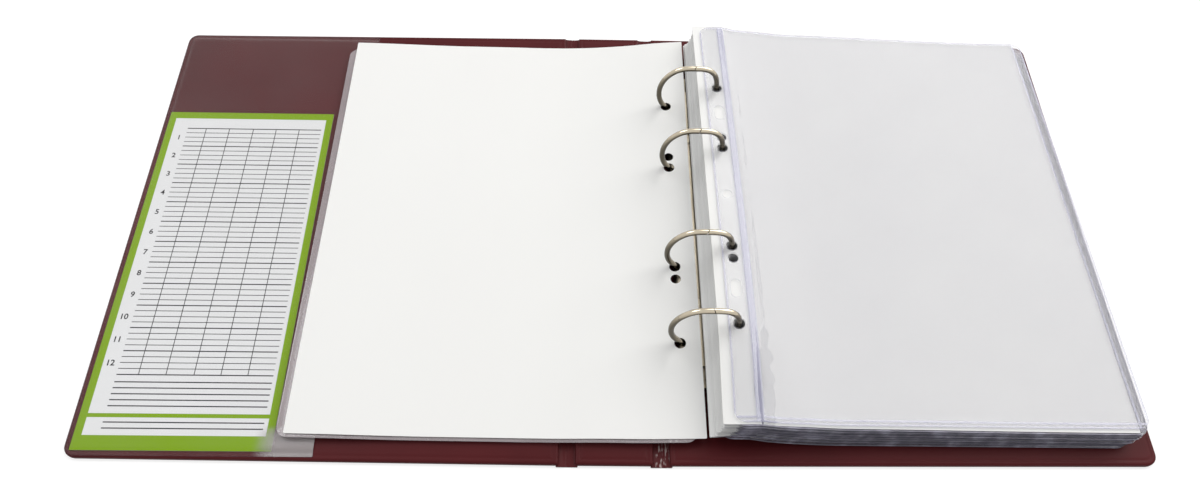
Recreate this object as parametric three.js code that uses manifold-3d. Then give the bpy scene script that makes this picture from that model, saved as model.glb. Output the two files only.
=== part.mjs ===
// Four-ring banknote album lying open: a heat-welded vinyl cover of three panels, a ring mechanism
// on the back panel, clear pocket pages with white interleaves, and an index card in a clear pocket.
// Millimetres, +Z up. X runs across the open album, Y along its rings. The origin is on the table
// under the middle of the spine.
import * as THREE from "three";
import { mergeVertices } from "three/addons/utils/BufferGeometryUtils.js";
import Module from "manifold-3d";

const wasm = await Module();
wasm.setup();

// Cover
const coverHeight = 278;
const panelWidth = 242;
const spineWidth = 46;
const outerVinyl = 0.4;
const innerVinyl = 0.4;
const boardThickness = 2.2;
const edgeWeld = 3.5;
const hingeLand = 4;
const hingeSlit = 0.3;
const coverCorner = 6;

// Index pocket and card on the inside of the front panel
const pocketInset = 0.8;
const pocketWidth = 119;
const pocketWeld = 1.6;
const pocketFoil = 0.3;
const cardThickness = 0.35;
const cardRoom = 0.2;
const cardWidth = 96.5;
const cardHeight = 210.5;
const cardSideGap = 0.9;

// Ring mechanism
const ringOffset = 22.3;
const ringPitchEnd = 45;
const ringPitchMiddle = 65;
const ringRadius = 17;
const ringCentreHeight = 21.5;
const wireDiameter = 3;
const splitGap = 0.3;
const plateBeyondRail = 8;
const plateHalfWidth = 12;
const plateHeight = 6;
const plateWallHeight = 2.7;
const plateShoulderHeight = 4.7;
const plateCrownHeight = 5.7;
const plateSheet = 0.8;
const plateShoulder = 2;
const plateLip = 1.9;
const slotWidth = 4.4;
const slotInner = 3;
const slotOuter = 10.2;
const slotSides = 10;
const railThickness = 1;
const railBeyondRing = 5.5;
const railGap = 0.3;
const railSideGap = 0.4;
const railMeet = 0.4;
const railRivetGap = 0.9;
const stubHoleGap = 0.25;
const stubBelowRail = 0.6;
const stubAngle = 62;
const leverWidth = 10;
const leverSheet = 0.9;
const leverTongue = 5;
const leverStep = 3;
const leverKnee = 11;
const leverTab = 16;
const leverRise = 2.2;
const leverPinDiameter = 2;
const leverPinSetback = 3.6;
const rivetSpacing = 110;
const rivetShank = 4;
const rivetHead = 7.2;
const rivetHeadThickness = 0.6;
const rivetHeadGap = 0.05;
const rivetFlange = 10;
const rivetFlangeThickness = 0.7;
const rivetHoleGap = 0.3;
const rivetSides = 14;
const seatGap = 0.3;

// Pages and interleaves
const leafPairs = 12;
const leafBends = 4;
const pageWidth = 202;
const pageHeight = 255;
const pageThickness = 0.3;
const pageMargin = 7.7;
const pageCorner = 5.8;
const interleafWidth = 202;
const interleafHeight = 258;
const interleafThickness = 0.3;
const interleafMargin = 11.1;
const interleafCorner = 0;
const ringHole = 6;
const ringHoleSides = 8;
const standardHolePitch = 80;
const standardHole = 5.5;
const standardHoleSides = 6;
const ovalPitch = 116;
const ovalLength = 14;
const ovalWidth = 5;
const ovalCorner = 2.4;
const ovalSegments = 2;
const stackHoleLow = 3.9;
const stackHoleHigh = 19.8;
const stackOuterHeight = 16.3;
const stackLift = 0.3;
const stackFall = 48;
const stackEdgeDroop = 0.26;
const holeFlat = 3.5;
const holeDrift = 0.039;
const turnedHoleHeight = 2.4;
const turnedFall = 81;
const turnedEdgeRise = 0.1;
const turnedGap = 0.25;

// Places worked out from the sizes
const filmThickness = outerVinyl + innerVinyl;
const boardBottom = outerVinyl;
const boardTop = boardBottom + boardThickness;
const coverThickness = boardTop + innerVinyl;
const hingeX = spineWidth / 2;
const edgeX = hingeX + panelWidth;
const edgeY = coverHeight / 2;
const ringX = hingeX + ringOffset;
const ringY = [
  ringPitchMiddle / 2 + ringPitchEnd,
  ringPitchMiddle / 2,
  -ringPitchMiddle / 2,
  -ringPitchMiddle / 2 - ringPitchEnd,
];
const railLength = 2 * (ringY[0] + railBeyondRing);
const plateLength = railLength + 2 * plateBeyondRail;
const ringCentreZ = coverThickness + ringCentreHeight;
const plateTop = coverThickness + plateHeight;
const lipTop = coverThickness + plateSheet;
const railBottom = lipTop + railGap;
const railTop = railBottom + railThickness;
const railOuter = plateHalfWidth - plateSheet - railSideGap;
const stubX = ringRadius * Math.sin(THREE.MathUtils.degToRad(90 - stubAngle));
const rivetY = rivetSpacing / 2;

// Materials
function surface(color, roughness, metalness = 0, opacity = 1) {
  return new THREE.MeshStandardMaterial({ color, roughness, metalness, opacity, transparent: opacity < 1 });
}
const burgundyVinyl = surface(0x4a1a1c, 0.35);
const greyBoard = surface(0x8d8578, 0.9);
const clearVinyl = surface(0xdfe2ea, 0.12, 0, 0.35);
const whiteCard = surface(0xf3f3f1, 0.7);
const greenCard = surface(0x9bc23c, 0.55);
const nickel = surface(0xb9ae98, 0.25, 1);

// Solids: closed geometry in, closed geometry out
function toSolid(geometry) {
  const bare = geometry.clone();
  bare.deleteAttribute("normal");
  bare.deleteAttribute("uv");
  const merged = mergeVertices(bare, 1e-4);
  return new wasm.Manifold(new wasm.Mesh({
    numProp: 3,
    vertProperties: new Float32Array(merged.attributes.position.array),
    triVerts: new Uint32Array(merged.index.array),
  }));
}

function toGeometry(solid) {
  const found = solid.getMesh();
  const geometry = new THREE.BufferGeometry();
  geometry.setAttribute("position", new THREE.BufferAttribute(found.vertProperties, 3));
  geometry.setIndex(new THREE.BufferAttribute(found.triVerts, 1));
  geometry.computeVertexNormals();
  return geometry;
}

function join(...geometries) {
  return toGeometry(geometries.map(toSolid).reduce((whole, piece) => whole.add(piece)));
}

function cut(geometry, cutters) {
  const whole = toSolid(geometry);
  return toGeometry(cutters.map(toSolid).reduce((left, cutter) => left.subtract(cutter), whole));
}

function box(x0, x1, y0, y1, z0, z1) {
  const geometry = new THREE.BoxGeometry(x1 - x0, y1 - y0, z1 - z0);
  return geometry.translate((x0 + x1) / 2, (y0 + y1) / 2, (z0 + z1) / 2);
}

function upright(radius, x, y, z0, z1, sides = 12) {
  const geometry = new THREE.CylinderGeometry(radius, radius, z1 - z0, sides);
  return geometry.rotateX(Math.PI / 2).translate(x, y, (z0 + z1) / 2);
}

// A rectangle with its own radius at its left and right corners
function roundedShape(x0, x1, y0, y1, leftRadius, rightRadius) {
  const shape = new THREE.Shape();
  shape.moveTo(x0 + leftRadius, y0);
  shape.lineTo(x1 - rightRadius, y0);
  if (rightRadius > 0) shape.absarc(x1 - rightRadius, y0 + rightRadius, rightRadius, -Math.PI / 2, 0);
  shape.lineTo(x1, y1 - rightRadius);
  if (rightRadius > 0) shape.absarc(x1 - rightRadius, y1 - rightRadius, rightRadius, 0, Math.PI / 2);
  shape.lineTo(x0 + leftRadius, y1);
  if (leftRadius > 0) shape.absarc(x0 + leftRadius, y1 - leftRadius, leftRadius, Math.PI / 2, Math.PI);
  shape.lineTo(x0, y0 + leftRadius);
  if (leftRadius > 0) shape.absarc(x0 + leftRadius, y0 + leftRadius, leftRadius, Math.PI, Math.PI * 1.5);
  return shape;
}

function raised(shape, z0, z1, curveSegments = 4) {
  const geometry = new THREE.ExtrudeGeometry(shape, { depth: z1 - z0, bevelEnabled: false, curveSegments });
  return geometry.translate(0, 0, z0);
}

// An outline in X and Z, drawn out along Y
function drawnAlongY(points, y0, y1) {
  const shape = new THREE.Shape(points.map(([x, z]) => new THREE.Vector2(x, z)));
  const geometry = new THREE.ExtrudeGeometry(shape, { depth: y1 - y0, bevelEnabled: false });
  return geometry.rotateX(Math.PI / 2).translate(0, y1, 0);
}

// A sheet that follows a line in X and Z, drawn along Y
function sheetAlong(line, thickness, y0, y1) {
  const top = line.map(([x, z]) => [x, z + thickness]).reverse();
  return drawnAlongY([...line, ...top], y0, y1);
}

const album = new THREE.Group();
album.name = "banknote_album";

function place(name, geometry, material) {
  const mesh = new THREE.Mesh(geometry, material);
  mesh.name = name;
  album.add(mesh);
}

// One panel of the cover: outer vinyl with its welded rim, board, and inner vinyl on top
function coverPanel(name, x0, x1, leftIsHinge, rightIsHinge, boardCutters = [], vinylCutters = []) {
  const leftCorner = leftIsHinge ? 0 : coverCorner;
  const rightCorner = rightIsHinge ? 0 : coverCorner;
  const filmX0 = leftIsHinge ? x0 + hingeSlit / 2 : x0;
  const filmX1 = rightIsHinge ? x1 - hingeSlit / 2 : x1;
  const bodyX0 = leftIsHinge ? x0 + hingeLand : x0;
  const bodyX1 = rightIsHinge ? x1 - hingeLand : x1;
  const boardX0 = leftIsHinge ? bodyX0 + outerVinyl : x0 + edgeWeld;
  const boardX1 = rightIsHinge ? bodyX1 - outerVinyl : x1 - edgeWeld;
  const film = raised(roundedShape(filmX0, filmX1, -edgeY, edgeY, leftCorner, rightCorner), 0, filmThickness);
  const body = raised(roundedShape(bodyX0, bodyX1, -edgeY, edgeY, leftCorner, rightCorner), 0, boardTop);
  const bed = box(boardX0, boardX1, -edgeY + edgeWeld, edgeY - edgeWeld, boardBottom, boardTop + 1);
  place(`${name}_outer_vinyl`, cut(join(film, body), [bed]), burgundyVinyl);

  const board = box(boardX0, boardX1, -edgeY + edgeWeld, edgeY - edgeWeld, boardBottom, boardTop);
  place(`${name}_board`, boardCutters.length ? cut(board, boardCutters) : board, greyBoard);

  const lining = raised(
    roundedShape(bodyX0, bodyX1, -edgeY, edgeY, leftCorner, rightCorner), boardTop, coverThickness,
  );
  place(`${name}_inner_vinyl`, vinylCutters.length ? cut(lining, vinylCutters) : lining, burgundyVinyl);
}

const rivetHoles = [-rivetY, rivetY].map(
  (y) => upright(rivetShank / 2 + rivetHoleGap, ringX, y, -1, coverThickness + 1),
);
const recessTop = boardBottom + rivetFlangeThickness + rivetHoleGap;
const rivetRecesses = [-rivetY, rivetY].map(
  (y) => upright(rivetFlange / 2 + rivetHoleGap, ringX, y, 0, recessTop),
);
coverPanel("back", hingeX, edgeX, true, false, [...rivetHoles, ...rivetRecesses], rivetHoles);
coverPanel("spine", -hingeX, hingeX, true, true);
coverPanel("front", -edgeX, -hingeX, false, true);

// Index pocket: a clear sheet welded along three edges and open towards the spine
const pocketX0 = -edgeX + pocketInset;
const pocketX1 = pocketX0 + pocketWidth;
const pocketY = edgeY - pocketInset;
const cardTop = coverThickness + cardThickness;
const foilBottom = cardTop + cardRoom;
const pocketOutline = roundedShape(pocketX0, pocketX1, -pocketY, pocketY, coverCorner - pocketInset, 0);
const pocketRoom = box(
  pocketX0 + pocketWeld, pocketX1 + 1, -pocketY + pocketWeld, pocketY - pocketWeld, 0, foilBottom,
);
const pocketBlock = raised(pocketOutline, coverThickness, foilBottom + pocketFoil);
place("index_pocket", cut(pocketBlock, [pocketRoom]), clearVinyl);

const cardX0 = pocketX0 + pocketWeld + cardSideGap;
const cardY0 = -pocketY + pocketWeld + cardSideGap;
place(
  "index_card",
  box(cardX0, cardX0 + cardWidth, cardY0, cardY0 + cardHeight, coverThickness, cardTop),
  greenCard,
);

// Ring plate: a sprung steel arch with inward lips, slotted where the ring wires come out
const plateHalf = [
  [plateHalfWidth - plateLip, 0],
  [plateHalfWidth, 0],
  [plateHalfWidth, plateWallHeight],
  [plateHalfWidth - plateShoulder, plateShoulderHeight],
  [plateHalfWidth / 2, plateCrownHeight],
  [0, plateHeight],
];
const plateInside = [
  [0, plateHeight - plateSheet],
  [plateHalfWidth / 2, plateCrownHeight - plateSheet],
  [plateHalfWidth - plateShoulder - plateSheet / 2, plateShoulderHeight - plateSheet],
  [plateHalfWidth - plateSheet, plateWallHeight - plateSheet / 2],
  [plateHalfWidth - plateSheet, plateSheet],
  [plateHalfWidth - plateLip, plateSheet],
];
const mirrored = (points) => points.map(([x, z]) => [-x, z]).reverse();
const plateOutline = [
  ...plateHalf,
  ...mirrored(plateHalf).slice(1),
  ...mirrored(plateInside),
  ...plateInside.slice(1),
].map(([x, z]) => [ringX + x, coverThickness + z]);
const wireSlots = [];
for (const y of ringY) {
  for (const side of [-1, 1]) {
    const near = ringX + side * (slotInner + slotWidth / 2);
    const far = ringX + side * slotOuter;
    wireSlots.push(upright(slotWidth / 2, near, y, lipTop + 1, plateTop + 1, slotSides));
    const [slotX0, slotX1] = [Math.min(near, far), Math.max(near, far)];
    wireSlots.push(box(slotX0, slotX1, y - slotWidth / 2, y + slotWidth / 2, lipTop + 1, plateTop + 1));
  }
}
const plateRivetHoles = [-rivetY, rivetY].map(
  (y) => upright(rivetShank / 2 + rivetHoleGap, ringX, y, lipTop + 1, plateTop + 1),
);
place(
  "ring_plate",
  cut(drawnAlongY(plateOutline, -plateLength / 2, plateLength / 2), [...wireSlots, ...plateRivetHoles]),
  nickel,
);

// Rails: two flat strips under the plate that carry the half rings
for (const [name, side] of [["left_rail", -1], ["right_rail", 1]]) {
  const inner = ringX + side * railMeet / 2;
  const outer = ringX + side * railOuter;
  const strip = box(
    Math.min(inner, outer), Math.max(inner, outer), -railLength / 2, railLength / 2, railBottom, railTop,
  );
  const stubHoles = ringY.map(
    (y) => upright(wireDiameter / 2 + stubHoleGap, ringX + side * stubX, y, railBottom - 1, railTop + 1),
  );
  const rivetNotches = [-rivetY, rivetY].map(
    (y) => upright(rivetShank / 2 + railRivetGap, ringX, y, railBottom - 1, railTop + 1),
  );
  place(name, cut(strip, [...stubHoles, ...rivetNotches]), nickel);
}

// Half rings: round wire from the split at the top, around the side and down through the rail
class HalfRing extends THREE.Curve {
  constructor(side, y) {
    super();
    this.side = side;
    this.y = y;
    this.startAngle = Math.asin(splitGap / 2 / ringRadius);
    this.arc = Math.PI / 2 + THREE.MathUtils.degToRad(stubAngle) - this.startAngle;
    this.turnZ = ringCentreZ - ringRadius * Math.sin(THREE.MathUtils.degToRad(stubAngle));
    this.endZ = railBottom - stubBelowRail;
    this.arcShare = this.arc * ringRadius / (this.arc * ringRadius + this.turnZ - this.endZ);
  }

  getPoint(t, target = new THREE.Vector3()) {
    if (t > this.arcShare) {
      const down = (t - this.arcShare) / (1 - this.arcShare);
      const z = THREE.MathUtils.lerp(this.turnZ, this.endZ, down);
      return target.set(ringX + this.side * stubX, this.y, z);
    }
    const angle = this.startAngle + this.arc * t / this.arcShare;
    const x = ringX + this.side * ringRadius * Math.sin(angle);
    return target.set(x, this.y, ringCentreZ + ringRadius * Math.cos(angle));
  }
}

function wireAlong(curve, steps) {
  const section = new THREE.Shape();
  section.absarc(0, 0, wireDiameter / 2, 0, Math.PI * 2);
  const options = { steps, curveSegments: 4, extrudePath: curve, bevelEnabled: false };
  return new THREE.ExtrudeGeometry(section, options);
}

for (const [name, side] of [["left_half_ring", -1], ["right_half_ring", 1]]) {
  ringY.forEach((y, index) => {
    place(`${name}_${index + 1}`, wireAlong(new HalfRing(side, y), 16), nickel);
  });
}

// Levers: a tongue over the rail ends, a cross pin in the plate's walls and a thumb tab outside
function lever(name, side) {
  const tongueZ = railTop + seatGap;
  const pinY = railLength / 2 + leverPinSetback;
  const line = [
    [pinY - leverTongue, tongueZ],
    [pinY, tongueZ],
    [pinY + leverStep, tongueZ + leverRise / 2],
    [pinY + leverKnee, tongueZ + leverRise / 2],
    [pinY + leverTab, tongueZ + leverRise],
  ];
  const top = line.map(([y, z]) => [y, z + leverSheet]).reverse();
  const shape = new THREE.Shape([...line, ...top].map(([y, z]) => new THREE.Vector2(y, z)));
  const blade = new THREE.ExtrudeGeometry(shape, { depth: leverWidth, bevelEnabled: false });
  blade.rotateX(Math.PI / 2).rotateZ(Math.PI / 2).translate(ringX - leverWidth / 2, 0, 0);
  const pinHalf = plateHalfWidth - plateShoulder - plateSheet;
  const pin = new THREE.CylinderGeometry(leverPinDiameter / 2, leverPinDiameter / 2, 2 * pinHalf, 12);
  pin.rotateZ(Math.PI / 2).translate(ringX, pinY, tongueZ + leverSheet / 2);
  const whole = join(blade, pin);
  if (side < 0) whole.rotateZ(Math.PI).translate(2 * ringX, 0, 0);
  place(name, whole, nickel);
}
lever("far_lever", 1);
lever("near_lever", -1);

// Rivets: a flange let into the back board, a shank, and a low head on the plate
for (const [name, y] of [["far_rivet", rivetY], ["near_rivet", -rivetY]]) {
  const headBottom = plateTop + rivetHeadGap;
  const profile = [
    [0, boardBottom],
    [rivetFlange / 2, boardBottom],
    [rivetFlange / 2, boardBottom + rivetFlangeThickness],
    [rivetShank / 2, boardBottom + rivetFlangeThickness],
    [rivetShank / 2, headBottom],
    [rivetHead / 2, headBottom],
    [rivetHead / 2 - rivetHeadThickness, headBottom + rivetHeadThickness],
    [0, headBottom + rivetHeadThickness],
  ].map(([r, z]) => new THREE.Vector2(r, z));
  const rivet = new THREE.LatheGeometry(profile, rivetSides).rotateX(Math.PI / 2).translate(ringX, y, 0);
  place(name, rivet, nickel);
}

// Leaves. A leaf follows a line in X and Z and has a hole on each ring, the holes of the two-hole
// standard, and on a page one in its middle and two ovals as well.
function leafSolid(line, kind, holeX) {
  const y1 = kind.height / 2;
  const x0 = Math.min(line[0][0], line[line.length - 1][0]);
  const x1 = Math.max(line[0][0], line[line.length - 1][0]);
  const sheet = sheetAlong(line, kind.thickness, -y1, y1);
  const above = ringCentreZ * 2;
  const outline = raised(roundedShape(x0, x1, -y1, y1, kind.corner, kind.corner), 0, above, 2);
  const holes = ringY.map((y) => upright(ringHole / 2, holeX, y, 0, above, ringHoleSides));
  for (const y of kind.roundPunchings) {
    holes.push(upright(standardHole / 2, holeX, y, 0, above, standardHoleSides));
  }
  for (const y of kind.ovalPunchings) {
    const oval = roundedShape(
      holeX - ovalWidth / 2, holeX + ovalWidth / 2, y - ovalLength / 2, y + ovalLength / 2,
      ovalCorner, ovalCorner,
    );
    holes.push(raised(oval, 0, above, ovalSegments));
  }
  const trimmed = toSolid(sheet).intersect(toSolid(outline));
  return toGeometry(holes.map(toSolid).reduce((whole, hole) => whole.subtract(hole), trimmed));
}

const page = {
  width: pageWidth, height: pageHeight, thickness: pageThickness, margin: pageMargin, corner: pageCorner,
  roundPunchings: [-standardHolePitch / 2, 0, standardHolePitch / 2],
  ovalPunchings: [-ovalPitch / 2, ovalPitch / 2],
};
const interleaf = {
  width: interleafWidth, height: interleafHeight, thickness: interleafThickness, margin: interleafMargin,
  corner: interleafCorner,
  roundPunchings: [-standardHolePitch / 2, standardHolePitch / 2],
  ovalPunchings: [],
};

// How far the ring wire stands from the rings' middle at a height
function wireReach(z) {
  return Math.sqrt(ringRadius ** 2 - (z - ringCentreZ) ** 2);
}

// A leaf of the right-hand stack, from its edge by the rings, over its holes, and down to the cover
function stackedLine(share, kind) {
  const holeZ = plateTop + THREE.MathUtils.lerp(stackHoleLow, stackHoleHigh, share);
  const outerZ = coverThickness + stackLift + share * stackOuterHeight;
  const holeX = ringX + wireReach(holeZ) + holeDrift * (holeZ - railBottom);
  const innerX = holeX - kind.margin;
  const droop = stackEdgeDroop * (1 - share) * (kind.margin - holeFlat);
  const line = [[innerX, holeZ - droop], [holeX - holeFlat, holeZ]];
  for (let bend = 0; bend <= leafBends; bend += 1) {
    const run = bend / leafBends;
    const height = outerZ + (holeZ - outerZ) * (1 - run) ** 2;
    line.push([holeX + holeFlat + run * stackFall, height]);
  }
  line.push([innerX + kind.width, outerZ]);
  return { line, holeX };
}

// A leaf turned over to the left: it slopes off the rings and lies across the spine and front panel
function turnedLine(level, kind) {
  const rise = level * (kind.thickness + turnedGap);
  const holeZ = plateTop + turnedHoleHeight + rise;
  const flatZ = foilBottom + pocketFoil + turnedGap + rise;
  const holeX = ringX - wireReach(holeZ) - holeDrift * (holeZ - railBottom);
  const innerX = holeX + kind.margin;
  const startZ = holeZ - turnedEdgeRise * holeFlat;
  const line = [[innerX, holeZ + turnedEdgeRise * kind.margin], [holeX - holeFlat, startZ]];
  for (let bend = 1; bend <= leafBends; bend += 1) {
    const run = bend / leafBends;
    line.push([holeX - holeFlat - run * turnedFall, flatZ + (startZ - flatZ) * (1 - run) ** 2]);
  }
  line.push([innerX - kind.width, flatZ]);
  return { line: line.reverse(), holeX };
}

const leafKinds = [["interleaf", interleaf, whiteCard], ["pocket_page", page, clearVinyl]];
for (let pair = 0; pair < leafPairs; pair += 1) {
  const number = String(pair + 1).padStart(2, "0");
  leafKinds.forEach(([name, kind, material], half) => {
    const share = (2 * pair + half) / (2 * leafPairs - 1);
    const { line, holeX } = stackedLine(share, kind);
    place(`${name}_${number}`, leafSolid(line, kind, holeX), material);
  });
}
const turnedPage = turnedLine(0, page);
place("turned_page", leafSolid(turnedPage.line, page, turnedPage.holeX), clearVinyl);
const turnedInterleaf = turnedLine(1, interleaf);
place("turned_interleaf", leafSolid(turnedInterleaf.line, interleaf, turnedInterleaf.holeX), whiteCard);

export default album;
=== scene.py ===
"""Finish of an open four-ring banknote album: burgundy vinyl cover, nickel ring mechanism, clear
pocket pages, white interleaves and a ruled index card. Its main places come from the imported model."""

import math
from bisect import bisect_right
from collections import Counter, namedtuple

import bmesh
import bpy
from bpy.props import FloatProperty, FloatVectorProperty, IntProperty, PointerProperty
from bpy.types import Operator, Panel, PropertyGroup
from mathutils import Matrix, Vector, noise
from mathutils.geometry import delaunay_2d_cdt


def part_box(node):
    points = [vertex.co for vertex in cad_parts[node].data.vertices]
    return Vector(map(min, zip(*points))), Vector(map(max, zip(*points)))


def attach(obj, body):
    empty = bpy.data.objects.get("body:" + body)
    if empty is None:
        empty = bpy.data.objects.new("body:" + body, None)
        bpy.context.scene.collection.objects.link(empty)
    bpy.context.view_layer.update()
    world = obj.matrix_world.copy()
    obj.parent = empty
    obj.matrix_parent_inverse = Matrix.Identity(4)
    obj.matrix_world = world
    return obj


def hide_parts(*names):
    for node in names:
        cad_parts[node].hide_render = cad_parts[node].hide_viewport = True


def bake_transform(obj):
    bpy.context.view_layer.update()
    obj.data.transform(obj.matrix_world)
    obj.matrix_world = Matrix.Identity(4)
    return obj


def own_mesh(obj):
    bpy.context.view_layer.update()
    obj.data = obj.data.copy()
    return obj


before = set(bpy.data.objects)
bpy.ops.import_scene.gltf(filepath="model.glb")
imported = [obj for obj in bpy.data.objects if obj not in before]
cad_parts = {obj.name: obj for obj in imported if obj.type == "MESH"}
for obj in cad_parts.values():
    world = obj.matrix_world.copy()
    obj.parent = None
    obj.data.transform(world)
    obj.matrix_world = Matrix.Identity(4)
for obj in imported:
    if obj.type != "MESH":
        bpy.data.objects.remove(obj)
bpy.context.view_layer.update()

bl_info = {
    "name": "Ring Album",
    "version": (1, 0, 0),
    "blender": (4, 5, 0),
    "location": "3D View > Sidebar > Ring Album",
    "description": "Builds the finish of an open four-ring album around its packed model",
    "category": "Object",
}

MM = 0.001

# Half the width and the thickness of the vinyl hinges between the boards
HINGE_LAND = 4 * MM
HINGE_FILM = 0.8 * MM

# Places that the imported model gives
COVER_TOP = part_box("back_inner_vinyl")[1].z
HINGE_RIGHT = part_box("spine_inner_vinyl")[1].x + HINGE_LAND
HINGE_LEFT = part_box("spine_inner_vinyl")[0].x - HINGE_LAND
RAIL_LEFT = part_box("left_rail")
RAIL_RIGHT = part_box("right_rail")
RING_X = (RAIL_LEFT[0].x + RAIL_RIGHT[1].x) / 2
RING_YS = [sum(corner.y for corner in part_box(f"left_half_ring_{n}")) / 2 for n in (1, 2, 3, 4)]
PLATE_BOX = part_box("ring_plate")

# The radius of the middle of the ring wire, and the height of the rings' middle
RING_RADIUS = 17 * MM
RING_Z = COVER_TOP + 21.5 * MM

# A leaf's corner radius, and the places along Y of its holes beside those for the rings
LeafKind = namedtuple("LeafKind", "corner round_punchings oval_punchings")
PAGE = LeafKind(5.8 * MM, (-40 * MM, 0, 40 * MM), (-58 * MM, 58 * MM))
INTERLEAF = LeafKind(0.6 * MM, (-40 * MM, 40 * MM), ())
# A hole is round where it has no reach, and a slot where its middle reaches out along X or Y
Hole = namedtuple("Hole", "x y radius reach_x reach_y")
RING_HOLE = 3 * MM
ROUND_PUNCHING = 2.75 * MM
OVAL_RADIUS = 2.7 * MM
OVAL_REACH = 2.5 * MM


def blend_in(value, low, high):
    """0 below low, 1 above high, and a smooth step between them."""
    share = min(max((value - low) / (high - low), 0.0), 1.0)
    return share * share * (3 - 2 * share)


def ridge(value, middle, half_width):
    """1 at the middle, falling smoothly to 0 on both sides."""
    return 1 - blend_in(abs(value - middle), 0, half_width)


# Mesh building

def add_piece(name, verts, faces, body, materials, replaced=(), face_slots=None, sharp=35):
    """A closed mesh object that rides on a body and stands for the CAD nodes it replaces."""
    mesh = bpy.data.meshes.new(name)
    mesh.from_pydata(verts, [], faces)
    for material in materials:
        mesh.materials.append(material)
    if face_slots:
        mesh.polygons.foreach_set("material_index", face_slots)
    skin = bmesh.new()
    skin.from_mesh(mesh)
    bmesh.ops.recalc_face_normals(skin, faces=skin.faces)
    skin.to_mesh(mesh)
    skin.free()
    mesh.shade_smooth()
    mesh.set_sharp_from_angle(angle=math.radians(sharp))
    piece = bpy.data.objects.new(name, mesh)
    bpy.context.scene.collection.objects.link(piece)
    if body:
        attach(piece, body)
    if replaced:
        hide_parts(*replaced)
    return piece


def lofted(loops, tips=(None, None)):
    """Vertices and faces of one closed skin through equal loops. A tip closes an end to a point."""
    verts = [point for loop in loops for point in loop]
    count = len(loops[0])
    faces = []
    for row in range(len(loops) - 1):
        for i in range(count):
            j = (i + 1) % count
            faces.append((row * count + i, row * count + j, (row + 1) * count + j, (row + 1) * count + i))
    ends = ((0, tips[0]), (len(loops) - 1, tips[1]))
    for row, tip in ends:
        ring = [row * count + i for i in range(count)]
        if tip is None:
            faces.append(tuple(ring))
            continue
        verts.append(tip)
        for i in range(count):
            faces.append((ring[i], ring[(i + 1) % count], len(verts) - 1))
    return verts, faces


def rounded_loop(x0, x1, y0, y1, left, right, z, steps=6):
    """A rectangle's outline at one height, with one radius at its left corners and one at its right."""
    corners = (
        (x1 - right, y0 + right, right, -90),
        (x1 - right, y1 - right, right, 0),
        (x0 + left, y1 - left, left, 90),
        (x0 + left, y0 + left, left, 180),
    )
    points = []
    for cx, cy, radius, start in corners:
        for step in range(steps + 1):
            angle = math.radians(start + 90 * step / steps)
            points.append((cx + radius * math.cos(angle), cy + radius * math.sin(angle), z))
    return points


def smooth_curve(points):
    """A function through points (along, height) that never overshoots them."""
    xs = [point[0] for point in points]
    zs = [point[1] for point in points]
    slopes = [(zs[i + 1] - zs[i]) / (xs[i + 1] - xs[i]) for i in range(len(xs) - 1)]
    tangents = [slopes[0]]
    for before, after in zip(slopes, slopes[1:]):
        same_way = before * after > 0
        tangents.append(2 * before * after / (before + after) if same_way else 0.0)
    tangents.append(slopes[-1])

    def height(x):
        x = min(max(x, xs[0]), xs[-1])
        i = min(bisect_right(xs, x), len(xs) - 1) - 1
        span = xs[i + 1] - xs[i]
        t = (x - xs[i]) / span
        return (
            zs[i] * (1 + 2 * t) * (1 - t) ** 2 + zs[i + 1] * t * t * (3 - 2 * t)
            + tangents[i] * span * t * (1 - t) ** 2 + tangents[i + 1] * span * t * t * (t - 1)
        )

    return height


def inside_plate(x, y, plate):
    """Whether a point is inside a rounded rectangle (x0, x1, y0, y1, left radius, right radius)."""
    x0, x1, y0, y1, left, right = plate
    if not (x0 < x < x1 and y0 < y < y1):
        return False
    for corner_x, radius, beyond in ((x0 + left, left, x < x0 + left), (x1 - right, right, x > x1 - right)):
        over_y = max(y0 + radius - y, y - (y1 - radius), 0)
        if beyond and over_y > 0 and math.hypot(x - corner_x, over_y) > radius:
            return False
    return True


def in_hole(x, y, hole):
    """Whether a point is in a hole. The outline's straight steps lie just inside the true curve."""
    over_x = max(abs(x - hole.x) - hole.reach_x, 0)
    over_y = max(abs(y - hole.y) - hole.reach_y, 0)
    return math.hypot(over_x, over_y) < hole.radius * 0.985


def hole_outline(hole, steps=24):
    """A round hole's outline, or a slot's where it reaches out along X or Y."""
    points = []
    for step in range(steps):
        angle = 2 * math.pi * (step + 0.5) / steps
        side_x = math.copysign(hole.reach_x, math.cos(angle))
        side_y = math.copysign(hole.reach_y, math.sin(angle))
        points.append((hole.x + side_x + hole.radius * math.cos(angle),
                       hole.y + side_y + hole.radius * math.sin(angle)))
    return points


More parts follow.
